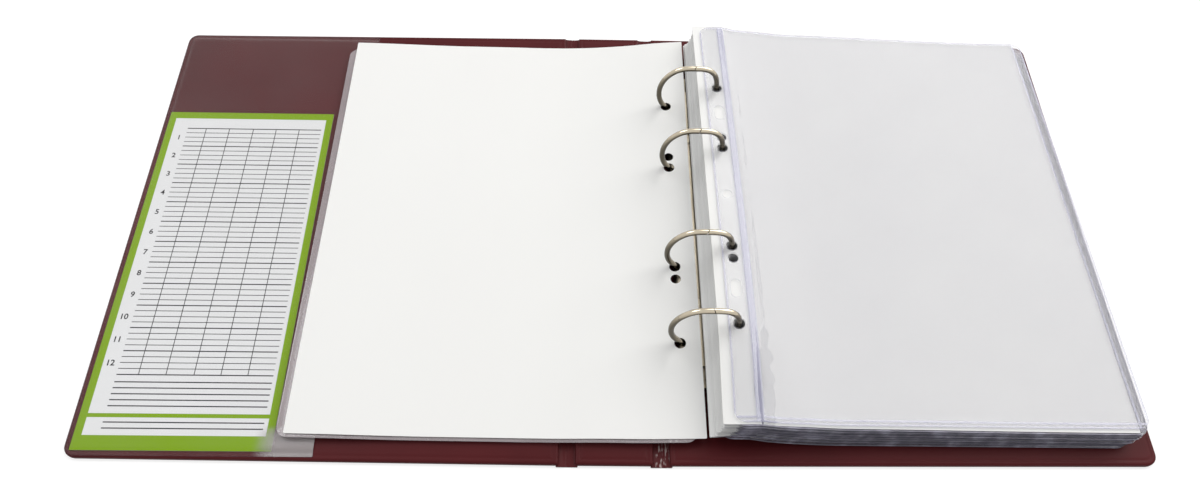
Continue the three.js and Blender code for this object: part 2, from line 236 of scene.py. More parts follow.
def plate_mesh(plate, holes, cuts_x, cuts_y, place, zone=None):
    """A thin closed sheet from a flat rounded rectangle with holes, cut along straight lines so that
    it can bend. place(x, y, upper) gives each point of its two sides. Rim faces have face slot 1,
    and zone(x, y) may name another slot for a part of the two sides."""
    x0, x1, y0, y1, left, right = plate
    points = []
    edges = []

    def add_loop(loop):
        first = len(points)
        points.extend(Vector(point) for point in loop)
        edges.extend((first + i, first + (i + 1) % len(loop)) for i in range(len(loop)))

    add_loop([(x, y) for x, y, _ in rounded_loop(x0, x1, y0, y1, max(left, 1e-5), max(right, 1e-5), 0)])
    for hole in holes:
        add_loop(hole_outline(hole))
    over = 1 * MM
    lines = [((x, y0 - over), (x, y1 + over)) for x in cuts_x if x0 < x < x1]
    lines += [((x0 - over, y), (x1 + over, y)) for y in cuts_y if y0 < y < y1]
    for start, end in lines:
        points.extend((Vector(start), Vector(end)))
        edges.append((len(points) - 2, len(points) - 1))
    flat, _, triangles, _, _, _ = delaunay_2d_cdt(points, edges, [], 0, 1e-7)

    kept = []
    kept_slots = []
    for triangle in triangles:
        x = sum(flat[i].x for i in triangle) / 3
        y = sum(flat[i].y for i in triangle) / 3
        if inside_plate(x, y, plate) and not any(in_hole(x, y, hole) for hole in holes):
            kept.append(triangle)
            kept_slots.append(zone(x, y) if zone else 0)
    used = sorted({i for triangle in kept for i in triangle})
    lower = {i: n for n, i in enumerate(used)}
    count = len(used)
    verts = [place(flat[i].x, flat[i].y, False) for i in used]
    verts += [place(flat[i].x, flat[i].y, True) for i in used]
    faces = [tuple(lower[i] + count for i in triangle) for triangle in kept]
    faces += [tuple(lower[i] for i in reversed(triangle)) for triangle in kept]
    slots = kept_slots * 2
    sides = Counter()
    for triangle in kept:
        for i in range(3):
            sides[frozenset((triangle[i], triangle[(i + 1) % 3]))] += 1
    for side, times in sides.items():
        if times == 1:
            a, b = (lower[i] for i in side)
            faces.append((a, b, b + count, a + count))
            slots.append(1)
    return verts, faces, slots


def steps_between(start, end, count):
    return [start + (end - start) * i / count for i in range(count + 1)]


# Material building

# Where the hinge vinyl has whitened: its near end, a little to the right of the fold line
CREASE_Y = -126 * MM
CREASE_FADE = 4 * MM
CREASE_SHIFT = 1.2 * MM
CREASE_HALF_WIDTH = 4.2 * MM
CREASE_COLOUR = (0.42, 0.33, 0.32)
# The gloss of a film is scaled by how little it hides, so it is given more than the plastic has
FILM_IOR = 1.95
# How much more a film hides when it is seen along its surface. This raises its gloss and also its tint, a
# painted reflection
LOW_ANGLE_VEIL = 0.6


def set_inputs(tree, node, **inputs):
    """Gives a node's sockets plain values or other nodes' outputs. In their names, _ is a space."""
    for name, value in inputs.items():
        socket = node.inputs[name.replace("_", " ")]
        if isinstance(value, bpy.types.NodeSocket):
            tree.links.new(value, socket)
        else:
            socket.default_value = value
    return node


def node_of(tree, kind, **inputs):
    return set_inputs(tree, tree.nodes.new(kind), **inputs)


def maths(tree, operation, *terms, clamp=False):
    """The result of a Math node over numbers and other nodes' outputs."""
    node = tree.nodes.new("ShaderNodeMath")
    node.operation = operation
    node.use_clamp = clamp
    for socket, term in zip(node.inputs, terms):
        if isinstance(term, bpy.types.NodeSocket):
            tree.links.new(term, socket)
        else:
            socket.default_value = term
    return node.outputs[0]


def rising(tree, value, start, full, smooth=True):
    """0 at start and 1 at full, with a smooth or a straight rise between them."""
    node = node_of(tree, "ShaderNodeMapRange", Value=value, From_Min=start, From_Max=full)
    if smooth:
        node.interpolation_type = "SMOOTHSTEP"
    return node.outputs[0]


def ranged(tree, value, low, high):
    """A value from 0 to 1, spread from low to high."""
    return node_of(tree, "ShaderNodeMapRange", Value=value, To_Min=low, To_Max=high).outputs["Result"]


def mixed_colour(tree, mask, first, second):
    """A colour that goes from first to second as the mask goes from 0 to 1. First may be an output."""
    mix = tree.nodes.new("ShaderNodeMix")
    mix.data_type = "RGBA"
    if not isinstance(first, bpy.types.NodeSocket):
        first = (*first, 1)
    set_inputs(tree, mix, Factor=mask, A=first, B=(*second, 1))
    return mix.outputs["Result"]


def bumped(tree, height, distance, strength):
    """A normal that follows a height."""
    bump = node_of(tree, "ShaderNodeBump", Strength=strength, Distance=distance, Height=height)
    return bump.outputs["Normal"]


def object_place(tree):
    """The object's own coordinates, in metres."""
    return tree.nodes.new("ShaderNodeTexCoord").outputs["Object"]


def new_group(name, inputs, outputs):
    """An empty shader node group with float inputs and the named outputs."""
    tree = bpy.data.node_groups.new(name, "ShaderNodeTree")
    for socket, value in inputs:
        item = tree.interface.new_socket(socket, in_out="INPUT", socket_type="NodeSocketFloat")
        item.default_value = value
    for socket in outputs:
        tree.interface.new_socket(socket, in_out="OUTPUT", socket_type="NodeSocketFloat")
    return tree, tree.nodes.new("NodeGroupInput").outputs, tree.nodes.new("NodeGroupOutput")


def fine_grain_group():
    """Fine pebbled grain. Height is for a bump, Shade varies softly round one half."""
    tree, given, out = new_group("Fine grain", [("Scale", 900.0), ("Detail", 3.0)], ["Height", "Shade"])
    place = object_place(tree)
    speckle = node_of(tree, "ShaderNodeTexNoise", Vector=place, Scale=given["Scale"],
                      Detail=given["Detail"], Roughness=0.6).outputs["Fac"]
    pebble = node_of(tree, "ShaderNodeTexVoronoi", Vector=place, Scale=given["Scale"]).outputs["Distance"]
    set_inputs(tree, out, Height=maths(tree, "MULTIPLY_ADD", pebble, 0.5, speckle), Shade=speckle)
    return tree


def broad_clouds_group():
    """Broad uneven tone, as handling and storage leave on a soft surface."""
    tree, given, out = new_group("Broad clouds", [("Scale", 12.0), ("Contrast", 2.0)], ["Mask"])
    cloud = node_of(tree, "ShaderNodeTexNoise", Vector=object_place(tree), Scale=given["Scale"],
                    Detail=4.0, Roughness=0.55).outputs["Fac"]
    centred = maths(tree, "SUBTRACT", cloud, 0.5)
    set_inputs(tree, out, Mask=maths(tree, "MULTIPLY_ADD", centred, given["Contrast"], 0.5, clamp=True))
    return tree


def streak_group():
    """Fine streaks that run along Y, as on stressed vinyl, ground metal and cut sheet edges."""
    tree, given, out = new_group("Streaks", [("Across", 1500.0), ("Along", 60.0), ("Cut", 0.55)],
                                 ["Mask", "Height"])
    scales = node_of(tree, "ShaderNodeCombineXYZ", X=given["Across"], Y=given["Along"], Z=given["Across"])
    stretch = tree.nodes.new("ShaderNodeVectorMath")
    stretch.operation = "MULTIPLY"
    tree.links.new(object_place(tree), stretch.inputs[0])
    tree.links.new(scales.outputs[0], stretch.inputs[1])
    streak = node_of(tree, "ShaderNodeTexNoise", Vector=stretch.outputs[0], Scale=1.0, Detail=2.0)
    height = streak.outputs["Fac"]
    brightest = 0.72
    set_inputs(tree, out, Mask=rising(tree, height, given["Cut"], brightest), Height=height)
    return tree


GROUP_MAKERS = {"Fine grain": fine_grain_group, "Broad clouds": broad_clouds_group, "Streaks": streak_group}


def shared_effect(tree, name, **values):
    """The outputs of a shared effect, which is built the first time that a material asks for it."""
    node = tree.nodes.new("ShaderNodeGroup")
    node.node_tree = bpy.data.node_groups.get(name) or GROUP_MAKERS[name]()
    return set_inputs(tree, node, **values).outputs


def principled(name, **values):
    """A material with a Principled shader whose plain values are set on its own sockets."""
    material = bpy.data.materials.new(name)
    material.use_nodes = True
    tree = material.node_tree
    return material, tree, set_inputs(tree, tree.nodes["Principled BSDF"], **values)


def shade(colour, share):
    return tuple(channel * share for channel in colour)


def vinyl_finish(tree, shader, tone, gloss):
    """Soft gloss and fine grain over a tone."""
    grain = shared_effect(tree, "Fine grain", Scale=1400.0, Detail=2.0)
    set_inputs(tree, shader, Base_Color=tone, Roughness=ranged(tree, grain["Shade"], gloss, gloss + 0.1),
               Normal=bumped(tree, grain["Height"], 0.005 * MM, 0.6))


def cover_vinyl_material(colour):
    """Burgundy vinyl with broad uneven tone."""
    material, tree, shader = principled("cover vinyl", IOR=1.5, Specular_IOR_Level=0.1)
    clouds = shared_effect(tree, "Broad clouds", Scale=9.0, Contrast=2.2)
    tone = mixed_colour(tree, clouds["Mask"], shade(colour, 0.82), shade(colour, 1.2))
    vinyl_finish(tree, shader, tone, 0.37)
    return material


def hinge_vinyl_material(colour):
    """The cover's vinyl where it folds, with whitened creases near the near end."""
    material, tree, shader = principled("hinge vinyl", IOR=1.5, Specular_IOR_Level=0.1)
    streaks = shared_effect(tree, "Streaks", Across=900.0, Along=260.0, Cut=0.5)
    place = node_of(tree, "ShaderNodeSeparateXYZ", Vector=object_place(tree)).outputs
    near_end = rising(tree, place["Y"], CREASE_Y, CREASE_Y - CREASE_FADE, smooth=False)
    across = maths(tree, "COMPARE", place["X"], HINGE_RIGHT + CREASE_SHIFT, CREASE_HALF_WIDTH)
    mask = maths(tree, "MULTIPLY", maths(tree, "MULTIPLY", near_end, across), streaks["Mask"])
    vinyl_finish(tree, shader, mixed_colour(tree, mask, colour, CREASE_COLOUR), 0.35)
    return material


def greyboard_material():
    """Grey pulp board with a rough, mottled face."""
    material, tree, shader = principled("greyboard")
    grain = shared_effect(tree, "Fine grain", Scale=700.0, Detail=6.0)
    set_inputs(tree, shader,
               Base_Color=mixed_colour(tree, grain["Shade"], (0.2, 0.18, 0.15), (0.34, 0.31, 0.27)),
               Roughness=ranged(tree, grain["Shade"], 0.85, 0.98),
               Normal=bumped(tree, grain["Height"], 0.08 * MM, 0.6))
    return material


def painted_glare_patch(tree, x_range, y_range, amount):
    """How much a painted glare hides, which grows across two ranges of the object's X and Y."""
    place = node_of(tree, "ShaderNodeSeparateXYZ", Vector=object_place(tree)).outputs
    both = maths(tree, "MULTIPLY", rising(tree, place["X"], *x_range), rising(tree, place["Y"], *y_range))
    return maths(tree, "MULTIPLY", both, amount)


def film_material(name, tint, cover, gloss, haze=0.0, patch=None, ior=FILM_IOR):
    """Clear vinyl film. Cover is how much it hides head on, and it hides more at a low angle, where its tint
    makes a painted reflection.
    """
    material, tree, shader = principled(name, IOR=ior)
    clouds = shared_effect(tree, "Broad clouds", Scale=22.0, Contrast=1.6)["Mask"]
    # Painted reflection: the film's tint shows more as it is seen at a lower angle
    slant = maths(tree, "POWER", node_of(tree, "ShaderNodeLayerWeight", Blend=0.5).outputs["Facing"], 3.0)
    alpha = maths(tree, "MULTIPLY_ADD", slant, LOW_ANGLE_VEIL, ranged(tree, clouds, cover, cover + haze),
                  clamp=True)
    # Painted glare: over a patch the film's tint shows more
    if patch:
        alpha = maths(tree, "ADD", alpha, painted_glare_patch(tree, *patch), clamp=True)
    set_inputs(tree, shader, Alpha=alpha, Base_Color=mixed_colour(tree, clouds, shade(tint, 0.94), tint),
               Roughness=ranged(tree, clouds, gloss, gloss + 0.08),
               Normal=bumped(tree, clouds, 0.25 * MM, 0.35))
    return material


def film_edge_material(colour):
    """The cut and welded edge of a clear film, which gathers light and looks dark and bluish. Its dark
    colour is partly that look and partly painted shade for the stack's shaded near face.
    """
    material, tree, shader = principled("film edge", IOR=1.45)
    streaks = shared_effect(tree, "Streaks", Across=120.0, Along=40.0, Cut=0.4)["Mask"]
    set_inputs(tree, shader, Base_Color=mixed_colour(tree, streaks, shade(colour, 0.7), shade(colour, 1.35)),
               Roughness=ranged(tree, streaks, 0.18, 0.32))
    return material


def paper_material(name, colour, roughness=0.62, ior=1.45):
    """Smooth card stock with faint mottling."""
    material, tree, shader = principled(name, IOR=ior)
    grain = shared_effect(tree, "Fine grain", Scale=1100.0, Detail=5.0)
    clouds = shared_effect(tree, "Broad clouds", Scale=14.0, Contrast=1.5)
    set_inputs(tree, shader, Base_Color=mixed_colour(tree, clouds["Mask"], shade(colour, 0.985), colour),
               Roughness=ranged(tree, grain["Shade"], roughness - 0.08, roughness + 0.1),
               Normal=bumped(tree, grain["Height"], 0.004 * MM, 0.4))
    return material


def nickel_material(name, colour, low, high):
    """Nickel plate: hairline polish marks along Y, soft clouding, and painted shade: darker where it faces
    down.
    """
    material, tree, shader = principled(name, Metallic=1.0)
    clouds = shared_effect(tree, "Broad clouds", Scale=160.0, Contrast=2.0)["Mask"]
    streaks = shared_effect(tree, "Streaks", Across=5200.0, Along=700.0, Cut=0.45)
    normal = tree.nodes.new("ShaderNodeTexCoord").outputs["Normal"]
    upward = node_of(tree, "ShaderNodeSeparateXYZ", Vector=normal).outputs["Z"]
    unshaded_nickel = mixed_colour(tree, clouds, shade(colour, 0.88), colour)
    set_inputs(tree, shader,
               # Painted shade: the colour falls to a fifth as the surface turns from facing up to facing
               # down
               Base_Color=mixed_colour(tree, rising(tree, upward, 0.8, 0.0), unshaded_nickel, shade(colour, 0.2)),
               Roughness=ranged(tree, clouds, low, high),
               Normal=bumped(tree, streaks["Height"], 0.004 * MM, 0.5))
    return material


def colour_property(title, text, default):
    return FloatVectorProperty(name=title, description=text, subtype="COLOR", size=3, min=0, max=1,
                               default=default)


def length_property(title, text, default):
    return FloatProperty(name=title, description=text, unit="LENGTH", precision=5, default=default)


class CoverSettings(PropertyGroup):
    vinyl: colour_property("Vinyl", "Colour of the cover's vinyl", (0.08, 0.0105, 0.0125))
    corner: length_property("Corner", "Radius of the cover's outer corners", 6 * MM)
    weld_inset: length_property("Weld inset", "From the edge to the weld line", 2.6 * MM)
    weld_depth: length_property("Weld depth", "How deep the weld line is pressed in", 0.14 * MM)


class PocketSettings(PropertyGroup):
    foil: length_property("Foil", "Thickness of the index pocket's clear sheet", 0.2 * MM)
    weld: length_property("Weld", "Width of the weld round the index pocket", 1.8 * MM)
    tint: colour_property("Tint", "Colour that the clear sheet adds", (0.56, 0.52, 0.52))
    veil: FloatProperty(name="Veil", description="How much the clear sheet hides", default=0.01,
                        min=0, max=1, subtype="FACTOR")


class PrintSettings(PropertyGroup):
    green: colour_property("Border", "Colour of the index card's border", (0.235, 0.41, 0.003))
    panel: colour_property("Panel", "Colour of the index card's ruled panels", (0.82, 0.83, 0.84))
    ink: colour_property("Ink", "Colour of the rules and numbers", (0.035, 0.036, 0.04))
    rows: IntProperty(name="Rows", description="Numbered rows in the table", default=12, min=1)


class LeafSettings(PropertyGroup):
    card: colour_property("Card", "Colour of the white interleaves", (0.9, 0.9, 0.885))
    film: colour_property("Film", "Colour that a clear page adds", (0.52, 0.52, 0.58))
    weld: colour_property("Weld", "Colour of a clear page's welds", (0.55, 0.55, 0.72))
    # A clear page's cut edge colour is partly painted shade for the stack's near face
    film_edge: colour_property("Film edge", "Colour of a clear page's cut edge", (0.29, 0.28, 0.35))
    veil: FloatProperty(name="Veil", description="How much a clear page hides", default=0.15,
                        min=0, max=1, subtype="FACTOR")
    ripple: length_property("Ripple", "Height of the waves in the top page", 0.22 * MM)


class RingSettings(PropertyGroup):
    nickel: colour_property("Nickel", "Colour of the nickel plate", (0.42, 0.37, 0.285))
    wire: length_property("Wire radius", "Radius of the ring wire", 1.5 * MM)
    tip: length_property("Tip", "How far the interlocking tips reach", 0.9 * MM)


class StageSettings(PropertyGroup):
    sky: FloatProperty(name="Sky", description="Strength of the even light", default=0.41, min=0)
    key: FloatProperty(name="Key", description="Power of the large soft lamp in watts", default=63, min=0)
    fill: FloatProperty(name="Fill", description="Power of the smaller lamp in watts", default=15, min=0)
    lens: FloatProperty(name="Lens", description="Focal length in millimetres", default=25.47, min=1)


# Cover

# The radius of a panel's corners beside the spine
SQUARE_CORNER = 0.8 * MM
# The cover as it is welded: how far from its middle its long edges are bowed, how far they stand out
# at the spine, and how much further out its right edge is
BOW_REACH = 262 * MM
EDGE_BOW = 1.8 * MM
RIGHT_STRETCH = 1.4 * MM
# How far a hinge reaches in under the panels' edges, and past them at the near and far ends
HINGE_LAP = 1.3 * MM
HINGE_END = 0.6 * MM
# The outer shell's edge as (inset, height), up to the seam where it meets the lining
SEAM = 1.42 * MM
SHELL_PROFILE = (
    (2.2 * MM, 0), (0.9 * MM, 0), (0.35 * MM, 0.12 * MM), (0.05 * MM, 0.45 * MM), (0, 0.8 * MM),
    (0, 1.25 * MM), (0.12 * MM, 1.38 * MM), (0.6 * MM, SEAM), (3.4 * MM, SEAM), (3.4 * MM, 0.4 * MM),
)


def lining_profile(weld, groove):
    """The lining's edge as (inset, height), with the weld line pressed in round it."""
    beside_weld = COVER_TOP - 0.01 * MM
    return (
        (3.3 * MM, 2.6 * MM), (1.2 * MM, 2.5 * MM), (0.65 * MM, 2.1 * MM), (0.6 * MM, SEAM + 0.02 * MM),
        (0.12 * MM, SEAM + 0.02 * MM), (0.02 * MM, 1.6 * MM), (0, 2.0 * MM), (0.12 * MM, 2.45 * MM),
        (0.5 * MM, 2.8 * MM), (1.1 * MM, 2.95 * MM), (weld - 0.7 * MM, beside_weld),
        (weld - 0.3 * MM, groove), (weld + 0.3 * MM, groove), (weld + 0.8 * MM, beside_weld),
        (weld + 2 * MM, COVER_TOP),
    )


def offset_side(inset, radius):
    """A corner's radius on a loop that lies further in."""
    return max(radius - inset, 0.15 * MM)


def profiled_slab(box, left, right, profile):
    """A slab whose edge follows a profile of (inset, height) pairs all the way round."""
    (x0, y0), (x1, y1) = box
    return lofted([
        rounded_loop(x0 + inset, x1 - inset, y0 + inset, y1 - inset,
                     offset_side(inset, left), offset_side(inset, right), z)
        for inset, z in profile
    ])


def as_welded(verts):
    """The cover sheet as it is welded: a little deeper at the spine than at its ends."""
    middle = (HINGE_LEFT + HINGE_RIGHT) / 2
    shaped = []
    for x, y, z in verts:
        over = x - middle
        swell = max(0, 1 - (over / BOW_REACH) ** 2) * min(1, abs(y) / (120 * MM))
        shaped.append((x + RIGHT_STRETCH * blend_in(over, 150 * MM, BOW_REACH),
                       y + math.copysign(EDGE_BOW * swell, y), z))
    return shaped


def cover_panel(name, body, left, right, cover, vinyl):
    """One panel: an outer shell with a welded rim, and an inner lining over the board."""
    low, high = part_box(f"{name}_inner_vinyl")
    box = ((low.x, low.y), (high.x, high.y))
    lining = lining_profile(cover.weld_inset, COVER_TOP - cover.weld_depth)
    for part, layer, profile in (("shell", "outer", SHELL_PROFILE), ("lining", "inner", lining)):
        verts, faces = profiled_slab(box, left, right, profile)
        add_piece(f"{name}_cover_{part}", as_welded(verts), faces, body, [vinyl],
                  [f"{name}_{layer}_vinyl"])


def hinge_strip(name, x, vinyl):
    """The vinyl between two boards, with a pressed fold line and faint creases."""
    reach = HINGE_LAND + HINGE_LAP
    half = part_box("spine_inner_vinyl")[1].y + HINGE_END
    noise_place = Vector((0, 0, 31))

    def place(px, py, upper):
        across = px - x
        if not upper:
            return (px, py, 0.0)
        fold = -0.22 * MM * ridge(across, 0, 0.7 * MM)
        roll = 0.5 * MM * blend_in(abs(across), 1.2 * MM, reach)
        end = blend_in(abs(py), half - 16 * MM, half - 2 * MM)
        crease = noise.noise(Vector((across * 420, py * 90, 0)) + noise_place) * 0.32 * MM * end
        soft = noise.noise(Vector((across * 60, py * 14, 0)) + noise_place) * 0.12 * MM
        return (px, py, HINGE_FILM + fold + roll + crease + soft)

    verts, faces, _ = plate_mesh(
        (x - reach, x + reach, -half, half, 0.3 * MM, 0.3 * MM), [],
        steps_between(x - reach, x + reach, 22), steps_between(-half, half, 120), place,
    )
    piece = add_piece(name, as_welded(verts), faces, None, [vinyl], sharp=50)
    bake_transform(piece)


def dress(node, material):
    """Gives a CAD node whose own shape shows its material."""
    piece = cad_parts[node]
    piece.data.materials.clear()
    piece.data.materials.append(material)


class ALBUM_OT_cover(Operator):
    """Three padded vinyl panels over greyboard, and the two vinyl hinges between them"""
    bl_idname = "album.cover"
    bl_label = "Cover"

    def execute(self, context):
        cover = context.scene.album_cover
        vinyl = cover_vinyl_material(tuple(cover.vinyl))
        hinge = hinge_vinyl_material(tuple(cover.vinyl))
        board = greyboard_material()
        cover_panel("front", "front_cover", cover.corner, SQUARE_CORNER, cover, vinyl)
        cover_panel("spine", "spine", SQUARE_CORNER, SQUARE_CORNER, cover, vinyl)
        cover_panel("back", "back_cover", SQUARE_CORNER, cover.corner, cover, vinyl)
        hinge_strip("front_hinge_vinyl", HINGE_LEFT, hinge)
        hinge_strip("back_hinge_vinyl", HINGE_RIGHT, hinge)
        for node in ("front_board", "spine_board", "back_board"):
            dress(node, board)
        return {"FINISHED"}


# Index pocket and card

# How far the pocket's edges are inside the cover's
POCKET_INSET = 0.8 * MM
# Lines from the pocket's welded edges inwards, along which its sheet can bend
POCKET_LINES = (0.5 * MM, 1.0 * MM, 1.6 * MM, 2.4 * MM, 3.2 * MM, 4.2 * MM)
# How wide the step is from the pocket's weld up to its sheet
POCKET_STEP = 2.2 * MM
# The painted glare at the pocket's near right corner: where it starts and is full along X and Y, and what it
# hides
POCKET_GLARE = ((RING_X - 221 * MM, RING_X - 207 * MM), (-122 * MM, -128 * MM), 0.42)


class ALBUM_OT_index_pocket(Operator):
    """Clear sheet welded to the front panel along three edges and open towards the spine"""
    bl_idname = "album.index_pocket"
    bl_label = "Index pocket"

    def execute(self, context):
        pocket = context.scene.album_pocket
        low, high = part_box("index_pocket")
        card_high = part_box("index_card")[1]
        rise = high.z - pocket.foil - COVER_TOP
        corner = context.scene.album_cover.corner - POCKET_INSET

        def place(x, y, upper):
            to_weld = min(x - low.x, y - low.y, high.y - y)
            lift = blend_in(to_weld, pocket.weld, pocket.weld + POCKET_STEP)
            beyond_card = blend_in(y, card_high.y - 1 * MM, card_high.y + 5 * MM)
            wave = 0.5 + 0.5 * noise.noise(Vector((x * 26, y * 17, 4)))
            mouth = blend_in(x, high.x - 16 * MM, high.x) * ridge(y, -0.02, 0.13)
            height = lift * (rise * (1 - 0.45 * beyond_card * wave) + 0.25 * MM * mouth)
            bead = 0.05 * MM * ridge(to_weld, pocket.weld * 0.6, 0.5 * MM)
            z = COVER_TOP + 0.01 * MM + height + (pocket.foil + bead if upper else 0)
            return (x, y, min(z, high.z + 0.3 * MM))

        cuts_x = [low.x + line for line in POCKET_LINES] + steps_between(low.x, high.x, 26)
        cuts_y = [low.y + line for line in POCKET_LINES] + [high.y - line for line in POCKET_LINES]
        cuts_y += steps_between(low.y, high.y, 44)
        verts, faces, slots = plate_mesh(
            (low.x, high.x, low.y, high.y, corner, 0.3 * MM), [], cuts_x, cuts_y, place)
        film = film_material("index pocket film", tuple(pocket.tint), pocket.veil, 0.12, 0.02,
                             POCKET_GLARE, 1.5)
        edge = film_edge_material(tuple(context.scene.album_leaves.film_edge))
        add_piece("index_pocket_film", verts, faces, "front_cover", [film, edge],
                  ["index_pocket"], slots)
        return {"FINISHED"}


# The index card's print, from its top left corner
PANEL_SIDE = 3.9 * MM
PANEL_TOP = 4.7 * MM
PANEL_FOOT = 191.6 * MM
LOWER_PANEL_TOP = 193.7 * MM
LOWER_PANEL_FOOT = 202.9 * MM
TABLE_LEFT = 12.3 * MM
TABLE_RIGHT = 90.6 * MM
TABLE_TOP = 12.3 * MM
TABLE_FOOT = 170.9 * MM
TABLE_COLUMNS = (23.2 * MM, 36.9 * MM, 50.9 * MM, 64.3 * MM, 77.8 * MM)
NOTE_RULES = (174.9 * MM, 178.1 * MM, 181.3 * MM, 184.5 * MM, 187.7 * MM)
OWNER_RULES = (196.2 * MM, 199.3 * MM)
# A row of the table has four lines, and its number stands a little below its second one
ROW_LINES = 4
NUMBER_LINE = 2.1
NUMBER_RIGHT = 9.8 * MM
NUMBER_SIZE = 4.5 * MM
NUMBER_WEIGHT = 0.09 * MM
RULE = 0.62 * MM
THIN_RULE = 0.4 * MM
# How far each layer of print stands above the one below it
PRINT_LIFT = 0.012 * MM


def print_patches(name, patches, lift, origin, material):
    """Flat printed rectangles (left, right, top, foot) that lie just above the card."""
    verts = []
    faces = []
    for left, right, top, foot in patches:
        loops = [
            [(origin.x + left, origin.y - foot, z), (origin.x + right, origin.y - foot, z),
             (origin.x + right, origin.y - top, z), (origin.x + left, origin.y - top, z)]
            for z in (origin.z + lift - PRINT_LIFT / 2, origin.z + lift)
        ]
        more_verts, more_faces = lofted(loops)
        faces += [tuple(len(verts) + i for i in face) for face in more_faces]
        verts += more_verts
    return add_piece(name, verts, faces, "index_card", [material])


def printed_number(text, place, material):
    """A number of the row labels, as a flat mesh."""
    curve = bpy.data.curves.new(f"row_number_{text}", "FONT")
    curve.body = text
    curve.size = NUMBER_SIZE
    curve.align_x = "RIGHT"
    curve.align_y = "CENTER"
    curve.resolution_u = 4
    curve.extrude = PRINT_LIFT / 2
    curve.offset = NUMBER_WEIGHT
    curve.materials.append(material)
    label = bpy.data.objects.new(f"row_number_{text}", curve)
    bpy.context.scene.collection.objects.link(label)
    label.location = place
    bpy.context.view_layer.update()
    mesh = bpy.data.meshes.new_from_object(label.evaluated_get(bpy.context.evaluated_depsgraph_get()))
    mesh.transform(label.matrix_world)
    bpy.data.objects.remove(label)
    piece = bpy.data.objects.new(f"row_number_{text}", mesh)
    bpy.context.scene.collection.objects.link(piece)
    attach(piece, "index_card")


class ALBUM_OT_index_card(Operator):
    """Green-bordered card with white panels, a ruled table and plain row numbers"""
    bl_idname = "album.index_card"
    bl_label = "Index card"

    def execute(self, context):
        colours = context.scene.album_print
        low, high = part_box("index_card")
        origin = Vector((low.x, high.y, high.z))
        width = high.x - low.x
        green = paper_material("card border print", tuple(colours.green), 0.4, 1.15)
        white = paper_material("card panel print", tuple(colours.panel), 0.42)
        ink = paper_material("card ink", tuple(colours.ink), 0.5, 1.15)

        def place(x, y, upper):
            return (x, y, high.z if upper else low.z)

        verts, faces, slots = plate_mesh(
            (low.x, high.x, low.y, high.y, 0.3 * MM, 0.3 * MM), [], [], [], place)
        edge = paper_material("card cut edge", (0.8, 0.8, 0.76))
        add_piece("index_card_stock", verts, faces, "index_card", [green, edge],
                  ["index_card"], slots)
        print_patches("index_card_panels", [
            (PANEL_SIDE, width - PANEL_SIDE, PANEL_TOP, PANEL_FOOT),
            (PANEL_SIDE, width - PANEL_SIDE, LOWER_PANEL_TOP, LOWER_PANEL_FOOT),
        ], PRINT_LIFT, origin, white)

        rules = []
        rows = colours.rows
        pitch = (TABLE_FOOT - TABLE_TOP) / (ROW_LINES * rows)
        for line in range(ROW_LINES * rows + 1):
            y = TABLE_TOP + line * pitch
            half = (RULE if line % ROW_LINES == 0 else THIN_RULE) / 2
            rules.append((TABLE_LEFT, TABLE_RIGHT, y - half, y + half))
        for x in TABLE_COLUMNS:
            rules.append((x - THIN_RULE / 2, x + THIN_RULE / 2, TABLE_TOP, TABLE_FOOT))
        for y in NOTE_RULES + OWNER_RULES:
            rules.append((TABLE_LEFT, TABLE_RIGHT, y - RULE / 2, y + RULE / 2))
        print_patches("index_card_rules", rules, 2 * PRINT_LIFT, origin, ink)
        for row in range(rows):
            y = origin.y - TABLE_TOP - (ROW_LINES * row + NUMBER_LINE) * pitch
            printed_number(str(row + 1), (origin.x + NUMBER_RIGHT, y, origin.z + 2 * PRINT_LIFT), ink)
        return {"FINISHED"}


# Ring mechanism

WIRE_SIDES = 20
# Half the gap at a ring's split, between the middles of its two ends
SPLIT_GAP = 0.22 * MM
# A lever's pin, as (place along X, radius) in millimetres
PIN_PROFILE = ((-9.15, 0.7), (-8.95, 1.0), (-5, 1.0), (5, 1.0), (8.95, 1.0), (9.15, 0.7))


def circle(radius, steps):
    """Points round a circle, from a radius in millimetres."""
    turns = [2 * math.pi * step / steps for step in range(steps)]
    return [(radius * MM * math.cos(turn), radius * MM * math.sin(turn)) for turn in turns]


def wire_loop(point, tangent, radius, reach=None):
    """A round section across a wire that lies in the X-Z plane. At a split end, reach is how far the
    middle of the section stands ahead of its sides."""
    across = Vector((0, 1, 0))
    outward = tangent.cross(across).normalized()
    loop = []
    for side in range(WIRE_SIDES):
        angle = 2 * math.pi * side / WIRE_SIDES
        spot = point + outward * radius * math.cos(angle) + across * radius * math.sin(angle)
        if reach is not None:
            spot += tangent * (SPLIT_GAP - reach * (0.5 - abs(math.sin(angle))))
        loop.append(tuple(spot))
    return loop


def half_ring_mesh(path, radius, reach):
    """A closed wire along a path, whose first end is split so that it interlocks with the other half."""
    loops = []
    for i, point in enumerate(path):
        ahead = path[min(i + 1, len(path) - 1)]
        behind = path[max(i - 1, 0)]
        loops.append(wire_loop(point, (ahead - behind).normalized(), radius, None if i else reach))
    tip = path[0] + (path[1] - path[0]).normalized() * (SPLIT_GAP - reach * 0.5)
    foot = path[-1] + (path[-1] - path[-2]).normalized() * 0.05 * MM
    return lofted(loops, (tuple(tip), tuple(foot)))


# The middle of each half ring's wire from the top down to the plate, in millimetres out and up from
# the ring's middle. The right halves have a tighter shoulder.
RIGHT_SHAPE = ((1.5, 18.2), (5, 18.1), (8.5, 17.5), (11.4, 15.8), (13.6, 12.9), (14.9, 9.0), (15.6, 4.5),
               (16.1, 0), (15.7, -5), (14.1, -9.4), (11.4, -12.8), (9.4, -15.2), (8.6, -17.6))
LEFT_SHAPE = ((-1.5, 18.2), (2, 18.2), (5.4, 17.7), (9.2, 16.0), (12.8, 12.7), (15.5, 8.3), (17.0, 3.2),
              (17.2, -1.2), (16.7, -5.2), (15.2, -9.4), (12.9, -12.8), (11.4, -15.2), (9.6, -17.6))


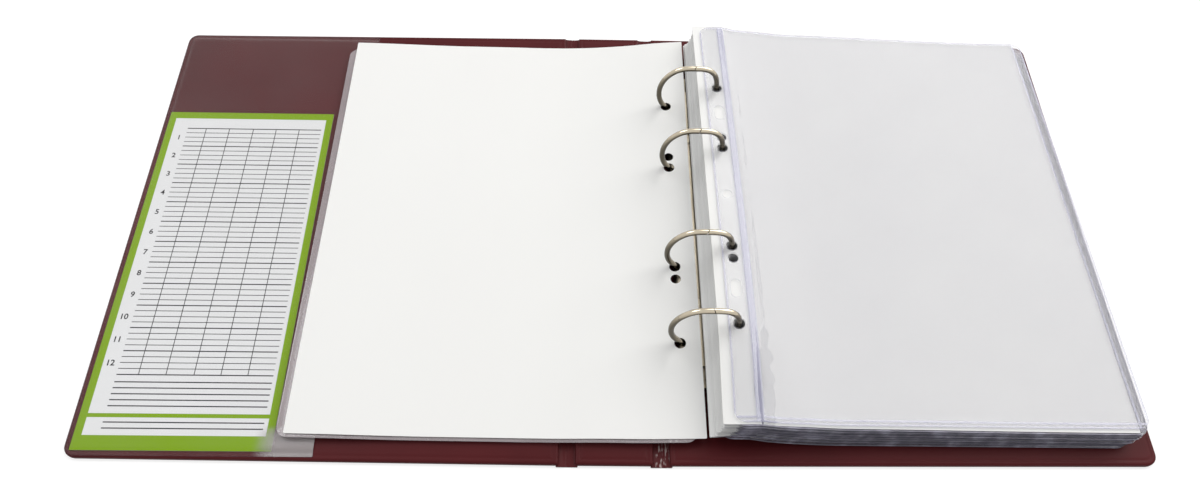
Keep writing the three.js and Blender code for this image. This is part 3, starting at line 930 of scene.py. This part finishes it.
def half_ring_path(side, y):
    """The middle of a half ring's wire, from its split at the top to the rail below the plate."""
    shape = RIGHT_SHAPE if side > 0 else LEFT_SHAPE
    points = [Vector((RING_X + side * out * MM, y, RING_Z + up * MM)) for out, up in shape]
    foot = Vector((RING_X + side * 8 * MM, y, RAIL_LEFT[0].z - 0.5 * MM))
    points += [points[-1].lerp(foot, 0.5), foot]
    path = curve_through(points, 6)
    for _ in range(2):
        path = [path[0]] + [(a + b * 2 + c) / 4 for a, b, c in zip(path, path[1:], path[2:])] + [path[-1]]
    return path


def curve_through(points, steps):
    """A smooth curve through points."""
    ends = [points[0] * 2 - points[1]] + points + [points[-1] * 2 - points[-2]]
    curve = []
    for before, start, end, after in zip(ends, ends[1:], ends[2:], ends[3:]):
        for step in range(steps):
            t = step / steps
            curve.append(0.5 * (
                start * 2 + (end - before) * t + (before * 2 - start * 5 + end * 4 - after) * t ** 2
                + (start * 3 - before - end * 3 + after) * t ** 3))
    curve.append(points[-1])
    return curve


class ALBUM_OT_rings(Operator):
    """Eight half rings of round wire with interlocking tips"""
    bl_idname = "album.rings"
    bl_label = "Rings"

    def execute(self, context):
        rings = context.scene.album_rings
        colour = tuple(rings.nickel)
        # The rings get a brighter copy of the nickel colour than the plate: a painted highlight on the wire
        wire = nickel_material("ring nickel", shade(colour, 1.45), 0.08, 0.14)
        for number, y in enumerate(RING_YS, 1):
            for name, side in (("left", -1), ("right", 1)):
                reaches = (name == "left") == (number < 4)
                tip = rings.tip if reaches else -rings.tip
                verts, faces = half_ring_mesh(half_ring_path(side, y), rings.wire, tip)
                add_piece(f"{name}_ring_wire_{number}", verts, faces, f"{name}_rings", [wire],
                          [f"{name}_half_ring_{number}"], sharp=50)
        for node in ("left_rail", "right_rail"):
            dress(node, nickel_material(f"{node} steel", shade(colour, 0.8), 0.3, 0.42))
        return {"FINISHED"}


def softened(points):
    """An open line with its corners cut back twice."""
    for _ in range(2):
        cut = [points[0]]
        for a, b in zip(points, points[1:]):
            cut.append(a.lerp(b, 0.25))
            cut.append(a.lerp(b, 0.75))
        cut.append(points[-1])
        points = cut
    return points


def along_line(points):
    """Distances along a line, and a function that gives the point and the normal at a distance."""
    lengths = [0.0]
    for a, b in zip(points, points[1:]):
        lengths.append(lengths[-1] + (b - a).length)

    def at(distance):
        i = min(max(bisect_right(lengths, distance) - 1, 0), len(points) - 2)
        share = (distance - lengths[i]) / (lengths[i + 1] - lengths[i])
        direction = (points[i + 1] - points[i]).normalized()
        return points[i].lerp(points[i + 1], share), Vector((-direction.y, direction.x))

    return lengths, at


class ALBUM_OT_plate(Operator):
    """Arched ring plate with wire slots, its two levers and its two rivets"""
    bl_idname = "album.plate"
    bl_label = "Ring plate, levers and rivets"

    def execute(self, context):
        colour = tuple(context.scene.album_rings.nickel)
        metal = nickel_material("plate nickel", shade(colour, 0.95), 0.26, 0.4)
        self.arch(metal)
        self.levers(metal)
        self.rivets(metal)
        return {"FINISHED"}

    def arch(self, metal):
        low, high = PLATE_BOX
        half_width = (high.x - low.x) / 2
        half_sheet = 0.4 * MM
        top = high.z - half_sheet
        foot = low.z + half_sheet
        right = [
            Vector((0, top)), Vector((0.5 * half_width, top - 0.3 * MM)),
            Vector((half_width - 2.2 * MM, top - 1.3 * MM)),
            Vector((half_width - half_sheet, top - 3.1 * MM)),
            Vector((half_width - half_sheet, foot)), Vector((half_width - 1.7 * MM, foot)),
        ]
        left = [Vector((-point.x, point.y)) for point in reversed(right[1:])]
        lengths, at = along_line(softened(left + right))
        middle = lengths[-1] / 2
        slot_middle = 6.8 * MM
        holes = [Hole(side * slot_middle, y, 2.2 * MM, 1.7 * MM, 0) for y in RING_YS for side in (-1, 1)]
        for node in ("far_rivet", "near_rivet"):
            rivet_low, rivet_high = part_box(node)
            holes.append(Hole(0, (rivet_low.y + rivet_high.y) / 2, 2.3 * MM, 0, 0))

        def place(along, y, upper):
            point, normal = at(along + middle)
            spot = point + normal * half_sheet * (1 if upper else -1)
            return (RING_X + spot.x, y, spot.y)

        cuts = [length - middle for length in lengths]
        verts, faces, _ = plate_mesh(
            (-middle, middle, low.y, high.y, 2 * MM, 2 * MM), holes, cuts,
            steps_between(low.y, high.y, 14), place)
        add_piece("ring_plate_arch", verts, faces, "back_cover", [metal], ["ring_plate"],
                  sharp=40)

    def levers(self, metal):
        for name, side in (("far_lever", 1), ("near_lever", -1)):
            low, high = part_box(name)
            inner = low.y if side > 0 else -high.y
            outer = high.y if side > 0 else -low.y
            blade_half = 5 * MM
            sheet = 0.9 * MM
            pin_along = inner + 5 * MM
            pin_z = low.z + 0.55 * MM
            line = smooth_curve([
                (inner, pin_z), (pin_along, pin_z), (inner + 8 * MM, pin_z + 1.1 * MM),
                (inner + 16 * MM, pin_z + 1.1 * MM), (outer, pin_z + 2.2 * MM),
            ])

            def place(along, across, upper, line=line, side=side, outer=outer):
                curl = -0.25 * MM * blend_in(along, outer - 2 * MM, outer)
                tab = blend_in(along, outer - 9 * MM, outer - 3 * MM)
                dish = 0.3 * MM * (across / blade_half) ** 2 * tab
                z = line(along) + curl + dish + (sheet if upper else 0)
                return (RING_X + across, side * along, z)

            verts, faces, _ = plate_mesh(
                (inner, outer, -blade_half, blade_half, 0.8 * MM, 3 * MM), [],
                steps_between(inner, outer, 30), steps_between(-blade_half, blade_half, 8), place)
            add_piece(f"{name}_blade", verts, faces, name, [metal], [name], sharp=50)
            pin_y = side * pin_along
            pin_middle = pin_z + sheet / 2
            verts, faces = lofted([
                [(RING_X + x * MM, pin_y + over, pin_middle + up) for over, up in circle(radius, 16)]
                for x, radius in PIN_PROFILE
            ])
            add_piece(f"{name}_pin", verts, faces, name, [metal])

    def rivets(self, metal):
        for name in ("far_rivet", "near_rivet"):
            low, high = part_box(name)
            y = (low.y + high.y) / 2
            head = high.z - 0.6 * MM
            profile = [
                (4.6, low.z), (5, low.z + 0.15 * MM), (5, low.z + 0.55 * MM), (4.6, low.z + 0.7 * MM),
                (2, low.z + 0.7 * MM), (2, head), (3.4, head), (3.6, head + 0.12 * MM),
                (3.3, head + 0.34 * MM), (2.4, head + 0.52 * MM), (1.2, head + 0.59 * MM),
            ]
            loops = [
                [(RING_X + over, y + along, z) for over, along in circle(radius, 32)]
                for radius, z in profile
            ]
            verts, faces = lofted(loops, (None, (RING_X, y, high.z)))
            add_piece(f"{name}_turned", verts, faces, "back_cover", [metal], [name], sharp=40)


# Leaves

def leaf_line(node):
    """The height of a CAD leaf's underside at any x, smoothed between its bends."""
    low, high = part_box(node)
    near = 0.01 * MM
    half = high.y - near
    lowest = {}
    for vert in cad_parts[node].data.vertices:
        co = vert.co
        if abs(co.y) > half or co.x < low.x + near or co.x > high.x - near:
            key = round(co.x, 6)
            lowest[key] = min(co.z, lowest.get(key, co.z))
    return smooth_curve(sorted(lowest.items()))


def leaf_holes(kind, hole_place, slide):
    """A leaf's holes, on the flat sheet before it slides along the rings."""
    rows = ((RING_YS, RING_HOLE, 0), (kind.round_punchings, ROUND_PUNCHING, 0),
            (kind.oval_punchings, OVAL_RADIUS, OVAL_REACH))
    return [Hole(hole_place(y), y - slide, radius, 0, reach) for ys, radius, reach in rows for y in ys]


# A clear page's welds, from the edge by the rings and from its other edges
BAND_START = 10.9 * MM
BAND_END = 13.7 * MM
OUTER_WELD = 4.9 * MM
NEAR_WELD = 2.5 * MM
WELD_HALF = 0.5 * MM
BEAD = 0.8 * MM


def page_relief(from_rings, from_outer, from_near, from_far):
    """How far a clear page's surface stands up: edge bead, punched band and the pocket's welds."""
    edge = min(from_rings, from_outer, from_near, from_far)
    bead = 0.1 * MM * ridge(edge, BEAD / 2, BEAD / 2)
    band = ridge(from_rings, BAND_START, WELD_HALF) + ridge(from_rings, BAND_END, WELD_HALF)
    weld = max(ridge(from_outer, OUTER_WELD, WELD_HALF), ridge(from_near, NEAR_WELD, WELD_HALF))
    return bead + 0.16 * MM * band + 0.12 * MM * weld


def weld_marks(*middles):
    """The middle and both sides of each weld, where a page is cut so that the weld can stand up."""
    return [middle + step for middle in middles for step in (-WELD_HALF, 0, WELD_HALF)]


WIRE_PATHS = {side: half_ring_path(side, 0) for side in (-1, 1)}


def wire_place(side, z):
    """How far along X the middle of a half ring's wire is at a height."""
    path = WIRE_PATHS[side]
    for above, below in zip(path, path[1:]):
        if above.z >= z >= below.z and above.z > below.z:
            return above.lerp(below, (above.z - z) / (above.z - below.z)).x
    return path[-1].x


def ring_crossing(height, side):
    """Where a leaf of the given height(x) meets the ring wire on one side of the rings."""
    x = RING_X + side * 0.9 * RING_RADIUS
    for _ in range(40):
        x = (x + wire_place(side, height(x))) / 2
    return x


# How far the top leaf stands above its flat place beside the rings, from the near end to the far end
BESIDE_RINGS = smooth_curve([
    (y * MM, z * MM) for y, z in (
        (-140, -5.4), (-128, -4.6), (-77.5, 1.7), (-32.5, 2.0), (32.5, 0.5), (77.5, -1.1), (128, -4.0),
        (140, -4.6),
    )
])


def stack_settling(x, y, share):
    """How the stack's leaves rise and sink beside the rings, and sink towards their outer edge.
    Share is 0 for the lowest leaf and 1 for the top one."""
    over = x - RING_X
    beside_rings = BESIDE_RINGS(y) * (1 - blend_in(over, 14 * MM, 52 * MM)) * (0.35 + 0.65 * share)
    outwards = -(4.0 * MM + 0.011 * y) * blend_in(over, 45 * MM, 200 * MM) * share
    return beside_rings + outwards


def turned_settling(x, y, from_outer):
    """How the turned leaves sink at their near end beside the rings and curl up at their outer edge."""
    over = RING_X - x
    near_end = -3.9 * MM * blend_in(-y, -80 * MM, 135 * MM) * (1 - blend_in(over, 8 * MM, 60 * MM))
    loose = 0.7 * MM * blend_in(over, 50 * MM, 110 * MM)
    curl = (1.3 + 0.6 * blend_in(-y, 0, 120 * MM)) * MM * (1 - blend_in(from_outer, 0, 70 * MM))
    return near_end + loose + curl


def turned_spread(x, y):
    """The turned leaves lie flatter at their near end, so they reach a little further there."""
    over = RING_X - x
    return blend_in(-y, -60 * MM, 130 * MM) * (1.7 - 2.4 * blend_in(over, 0, 205 * MM)) * MM


# How a sheet lies on its rings: turned, slid along X and Y, its share of the stack's settling, the
# height of its waves, and whether it shows enough for a fine mesh. A sheet that turns has its joint,
# and the line that it relaxes towards as it turns: how much that rises for each metre in X, and its
# height beside the rings.
LeafLay = namedtuple(
    "LeafLay", "turn slide_x slide_y share ripple fine joint lean rest_height",
    defaults=(0, 0, 0, 0, 0, False, "", 0, 0))

LEAF_COUNT = 12
# The thickness of one leaf
SHEET = 0.24 * MM
# How far a loose leaf's holes lie beyond the middle of the wire that they hang on
HOLE_PLAY = 0.6 * MM
# The turned leaves' holes lie no further than this from the rings' middle, and this far to the near
# side of the wires
TURNED_HOLE_REACH = 12.2 * MM
TURNED_HOLE_SLIDE = 0.7 * MM
# How far the top page stands off the interleaf below it
TOP_PAGE_LIFT = 0.3 * MM
# The part of an interleaf's rim, from its near and far ends, that the pages shade, which gets painted shade:
# a darker bluish colour
SHADED_END = 4 * MM
# A leaf's face slots, where 0 is for its two sides
RIM_SLOT = 1
SHADED_SLOT = 2
WELD_SLOT = 2
STRIP_SLOT = 3
# How both turned leaves lie. Each has its own slide.
TURNED = LeafLay(turn=math.radians(-0.45), fine=True, joint="turned_leaves_turn", lean=-0.103,
                 rest_height=7.4 * MM)


def interleaf_lay(number, share):
    """How an interleaf of the stack lies. The top one has its own place, the others fan out loosely."""
    if number == LEAF_COUNT:
        return LeafLay(slide_x=-1.4 * MM, slide_y=1.6 * MM, share=share, fine=True)
    sway = math.sin(number * 2.3)
    return LeafLay(
        turn=math.radians(0.12 * sway - 0.2 * (1 - share)), slide_x=(0.5 * sway - 1.2) * MM,
        slide_y=(0.3 * math.sin(number * 1.7) + 1.8 - 2.2 * (1 - share)) * MM, share=share)


def page_lay(number, share, ripple):
    """How a page of the stack lies. Only the top one is wavy."""
    if number == LEAF_COUNT:
        return LeafLay(turn=math.radians(0.3), slide_y=0.9 * MM, share=share, ripple=ripple, fine=True)
    return LeafLay(
        turn=math.radians(0.12) * math.cos(number * 1.9),
        slide_y=(0.3 * math.cos(number * 2.9) - 0.7 - 2.2 * (1 - share)) * MM, share=share)


def end_slot(verts, face, slot, half):
    """A face's slot, which is the painted-shade one on an interleaf's rim at its near and far ends."""
    if slot != RIM_SLOT:
        return slot
    middle_y = sum(verts[i][1] for i in face) / len(face)
    return SHADED_SLOT if abs(middle_y) > half - SHADED_END else RIM_SLOT


def add_leaf(name, node, kind, body, materials, lay):
    """A sheet that follows its CAD leaf's line, turned a little on its rings as loose sheets are."""
    low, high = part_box(node)
    line = leaf_line(node)
    turned_over = "turned" in node
    ring_edge, outer_edge = (high.x, low.x) if turned_over else (low.x, high.x)
    way = -1 if turned_over else 1
    half = high.y
    cosine, sine = math.cos(lay.turn), math.sin(lay.turn)
    welded = kind is PAGE

    def settled(x, y):
        if turned_over:
            return line(x) + turned_settling(x, y, x - outer_edge)
        return line(x) + stack_settling(x, y, lay.share)

    def hole_place(y):
        """Where a hole that the rings or their line pass through lies on the flat sheet."""
        crossing = ring_crossing(lambda x: settled(x, y), way)
        if turned_over:
            crossing = max(crossing, RING_X - TURNED_HOLE_REACH) - turned_spread(crossing, y)
        elif not lay.fine:
            crossing += HOLE_PLAY
        return crossing - lay.slide_x + y * sine

    def from_edges(x, y):
        """Distances from the edge by the rings, the outer edge, the near edge and the far edge."""
        return way * (x - ring_edge), way * (outer_edge - x), y + half, half - y

    hole_x = hole_place(0)

    def place(x, y, upper):
        edges = from_edges(x, y)
        relief = page_relief(*edges) if welded else 0
        z = settled(x, y) + 0.3 * relief
        if upper:
            z = z + SHEET + 0.7 * relief
        if lay.ripple:
            loose = blend_in(edges[0], 16 * MM, 40 * MM)
            wave = noise.noise(Vector((x * 15, y * 11, 5))) + 0.35 * noise.noise(Vector((x * 42, y * 30, 7)))
            z += TOP_PAGE_LIFT + lay.ripple * loose * (0.5 + 0.5 * wave)
        along = x - hole_x
        spread = turned_spread(x, y) if turned_over else 0
        return (hole_x + lay.slide_x + spread + along * cosine - y * sine,
                lay.slide_y + along * sine + y * cosine, z)

    def zone(x, y):
        """Slots for the welds, whose doubled film looks bluish or hazy, and for the top page's punched
        strip, where one clear sheet lies flat on the interleaf."""
        edges = from_edges(x, y)
        from_rings, from_outer, from_near, _ = edges
        band = BAND_START - WELD_HALF < from_rings < BAND_END + WELD_HALF
        pocket = min(abs(from_outer - OUTER_WELD), abs(from_near - NEAR_WELD)) < WELD_HALF
        margin = turned_over and min(edges) < OUTER_WELD + WELD_HALF
        if min(edges) < BEAD or band or pocket or margin:
            return WELD_SLOT
        return STRIP_SLOT if lay.ripple and from_rings < BAND_START else 0

    cuts_x = steps_between(low.x, high.x, 60 if lay.fine else 26)
    cuts_y = steps_between(-half, half, 40 if lay.fine else 22)
    if welded:
        marks = [0.0, BEAD / 2, BEAD]
        cuts_x += [ring_edge + way * mark for mark in marks + weld_marks(BAND_START, BAND_END)]
        cuts_x += [outer_edge - way * mark for mark in marks + weld_marks(OUTER_WELD)]
        cuts_y += [-half + mark for mark in marks + weld_marks(NEAR_WELD)]
        cuts_y += [half - mark for mark in marks]
    hole_slide = lay.slide_y + (TURNED_HOLE_SLIDE if turned_over else 0)
    verts, faces, slots = plate_mesh(
        (low.x, high.x, -half, half, kind.corner, kind.corner), leaf_holes(kind, hole_place, hole_slide),
        sorted(set(round(x, 6) for x in cuts_x)), sorted(set(round(y, 6) for y in cuts_y)), place,
        zone if welded else None)
    if not welded:
        slots = [end_slot(verts, face, found, half) for face, found in zip(faces, slots)]
    piece = add_piece(name, verts, faces, body, materials, [node], slots, sharp=30)
    if lay.joint:
        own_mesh(piece)


class ALBUM_OT_leaves(Operator):
    """Twelve clear pages and twelve interleaves on the rings, and two leaves turned to the left"""
    bl_idname = "album.leaves"
    bl_label = "Pages and interleaves"

    def execute(self, context):
        leaves = context.scene.album_leaves
        film = film_material("page film", tuple(leaves.film), leaves.veil, 0.06, 0.04)
        weld = film_material("page weld", tuple(leaves.weld), 0.3, 0.12, 0.12)
        strip = film_material("punched strip film", (0.66, 0.66, 0.72), 0.1, 0.06, 0.03)
        film_edge = film_edge_material(tuple(leaves.film_edge))
        rim = film_material("page rim", shade(tuple(leaves.weld), 0.8), 0.6, 0.12, 0.1)
        card = paper_material("white card", tuple(leaves.card))
        card_edge = paper_material("white card edge", tuple(leaves.card))
        # Painted shade: a darker bluish card colour for the interleaves' rims at their near and far ends
        card_end_painted_shade = paper_material("white card end painted shade", (0.46, 0.46, 0.54))
        margin = film_material("page margin", (0.5, 0.44, 0.46), 0.34, 0.12, 0.2)
        for number in range(1, LEAF_COUNT + 1):
            last = number == LEAF_COUNT
            share = (number - 0.5) / (LEAF_COUNT - 0.5)
            add_leaf(
                f"interleaf_sheet_{number:02}", f"interleaf_{number:02}", INTERLEAF, "back_cover",
                [card, card_edge, card_end_painted_shade], interleaf_lay(number, share))
            add_leaf(
                f"pocket_page_film_{number:02}", f"pocket_page_{number:02}", PAGE,
                "top_page" if last else "back_cover",
                [film, rim, weld, strip] if last else [film, film_edge, film_edge],
                page_lay(number, share, leaves.ripple))
        add_leaf(
            "turned_page_film", "turned_page", PAGE, "turned_leaves",
            [film, film_edge, margin], TURNED._replace(slide_x=-1.9 * MM, slide_y=-3.6 * MM))
        add_leaf(
            "turned_interleaf_sheet", "turned_interleaf", INTERLEAF, "turned_leaves",
            [card, card_edge, card_edge], TURNED._replace(slide_x=-0.7 * MM, slide_y=-0.3 * MM))
        return {"FINISHED"}


# Stage

# The camera, as the photograph's perspective gives it: its place from the rings' middle, and angles
CAMERA_FROM_RINGS = Vector((-66.05, -269.14, 398.3)) * MM
CAMERA_PITCH = 1.0737
CAMERA_YAW = 0.0335
CAMERA_ROLL = 0.0404
IMAGE_WIDTH = 1200
IMAGE_HEIGHT = 502
OPTICAL_X = 586.56
OPTICAL_Y = 307.5
# Each lamp's place, size and colour. Both point at the middle of the floor.
KEY_LAMP = ((1.55, 1.45, 2.0), (2.7, 2.6), (1, 0.985, 0.96))
FILL_LAMP = ((-1.3, 0.6, 2.0), (1.5, 1.0), (0.97, 0.98, 1))
# How bright the floor is by itself where the camera sees it
FLOOR_GLOW = 0.72


def camera_matrix(place):
    """Looks down by the pitch and right by the yaw, and then turns by the roll."""
    forward = Vector((
        math.sin(CAMERA_YAW) * math.cos(CAMERA_PITCH), math.cos(CAMERA_YAW) * math.cos(CAMERA_PITCH),
        -math.sin(CAMERA_PITCH),
    ))
    level = Vector((math.cos(CAMERA_YAW), -math.sin(CAMERA_YAW), 0))
    above = level.cross(forward)
    right = math.cos(CAMERA_ROLL) * level + math.sin(CAMERA_ROLL) * above
    up = -math.sin(CAMERA_ROLL) * level + math.cos(CAMERA_ROLL) * above
    turned = Matrix((right, up, -forward)).transposed().to_4x4()
    turned.translation = place
    return turned


def area_lamp(name, place, size, colour, power):
    data = bpy.data.lights.new(name, "AREA")
    data.shape = "RECTANGLE"
    data.size, data.size_y = size
    data.energy = power
    data.color = colour
    lamp = bpy.data.objects.new(name, data)
    lamp.location = place
    lamp.rotation_euler = (-Vector(place)).to_track_quat("-Z", "Y").to_euler()
    bpy.context.scene.collection.objects.link(lamp)


def background_rays(tree):
    """1 for what the camera, gloss and clear film see directly, and 0 for light on the object."""
    rays = tree.nodes.new("ShaderNodeLightPath").outputs
    seen = maths(tree, "MAXIMUM", rays["Is Camera Ray"], rays["Is Glossy Ray"])
    return maths(tree, "MAXIMUM", seen, rays["Is Transmission Ray"])


def floor_material():
    """Pale floor that looks white and still takes the album's faint shadow."""
    material, tree, shader = principled("pale floor", Base_Color=(0.42, 0.42, 0.42, 1), Roughness=0.9,
                                        Specular_IOR_Level=0.0, Emission_Color=(1, 1, 1, 1))
    glow = maths(tree, "MULTIPLY", background_rays(tree), FLOOR_GLOW)
    set_inputs(tree, shader, Emission_Strength=glow)
    return material


class ALBUM_OT_stage(Operator):
    """Camera, soft studio light and pale floor"""
    bl_idname = "album.stage"
    bl_label = "Stage"

    def execute(self, context):
        scene = context.scene
        stage = scene.album_stage
        data = bpy.data.cameras.new("album_camera")
        data.lens = stage.lens
        data.sensor_width = 36
        data.shift_x = (IMAGE_WIDTH / 2 - OPTICAL_X) / IMAGE_WIDTH
        data.shift_y = (OPTICAL_Y - IMAGE_HEIGHT / 2) / IMAGE_WIDTH
        data.clip_start = 0.02
        camera = bpy.data.objects.new("album_camera", data)
        camera.matrix_world = camera_matrix(CAMERA_FROM_RINGS + Vector((RING_X, 0, 0)))
        scene.collection.objects.link(camera)
        scene.camera = camera

        area_lamp("key_lamp", *KEY_LAMP, stage.key)
        area_lamp("fill_lamp", *FILL_LAMP, stage.fill)

        bpy.ops.mesh.primitive_plane_add(size=6, location=(0, 0, 0))
        floor = bpy.context.object
        floor.name = "floor"
        floor.data.materials.append(floor_material())

        world = bpy.data.worlds.new("studio")
        world.use_nodes = True
        scene.world = world
        tree = world.node_tree
        strength = ranged(tree, background_rays(tree), stage.sky, 1.0)
        set_inputs(tree, tree.nodes["Background"], Color=(1, 1, 1, 1), Strength=strength)
        scene.view_settings.view_transform = "Standard"
        return {"FINISHED"}


class ALBUM_PT_panel(Panel):
    """Buttons and settings for the album's pieces"""
    bl_idname = "ALBUM_PT_panel"
    bl_label = "Ring Album"
    bl_space_type = "VIEW_3D"
    bl_region_type = "UI"
    bl_category = "Ring Album"

    def draw(self, context):
        for operator, settings in STEPS:
            self.layout.operator(operator.bl_idname)
            if settings:
                group = getattr(context.scene, settings)
                for name in group.__annotations__:
                    self.layout.prop(group, name)


SETTINGS = {
    "album_cover": CoverSettings,
    "album_pocket": PocketSettings,
    "album_print": PrintSettings,
    "album_leaves": LeafSettings,
    "album_rings": RingSettings,
    "album_stage": StageSettings,
}
STEPS = (
    (ALBUM_OT_cover, "album_cover"),
    (ALBUM_OT_index_pocket, "album_pocket"),
    (ALBUM_OT_index_card, "album_print"),
    (ALBUM_OT_rings, "album_rings"),
    (ALBUM_OT_plate, None),
    (ALBUM_OT_leaves, "album_leaves"),
    (ALBUM_OT_stage, "album_stage"),
)


def register():
    for settings in SETTINGS.values():
        bpy.utils.register_class(settings)
    for operator, _ in STEPS:
        bpy.utils.register_class(operator)
    bpy.utils.register_class(ALBUM_PT_panel)
    for name, settings in SETTINGS.items():
        setattr(bpy.types.Scene, name, PointerProperty(type=settings))


def unregister():
    for name in SETTINGS:
        delattr(bpy.types.Scene, name)
    bpy.utils.unregister_class(ALBUM_PT_panel)
    for operator, _ in STEPS:
        bpy.utils.unregister_class(operator)
    for settings in SETTINGS.values():
        bpy.utils.unregister_class(settings)


def main():
    register()
    bpy.ops.album.cover()
    bpy.ops.album.index_pocket()
    bpy.ops.album.index_card()
    bpy.ops.album.rings()
    bpy.ops.album.plate()
    bpy.ops.album.leaves()
    bpy.ops.album.stage()


if __name__ == "__main__":
    main()
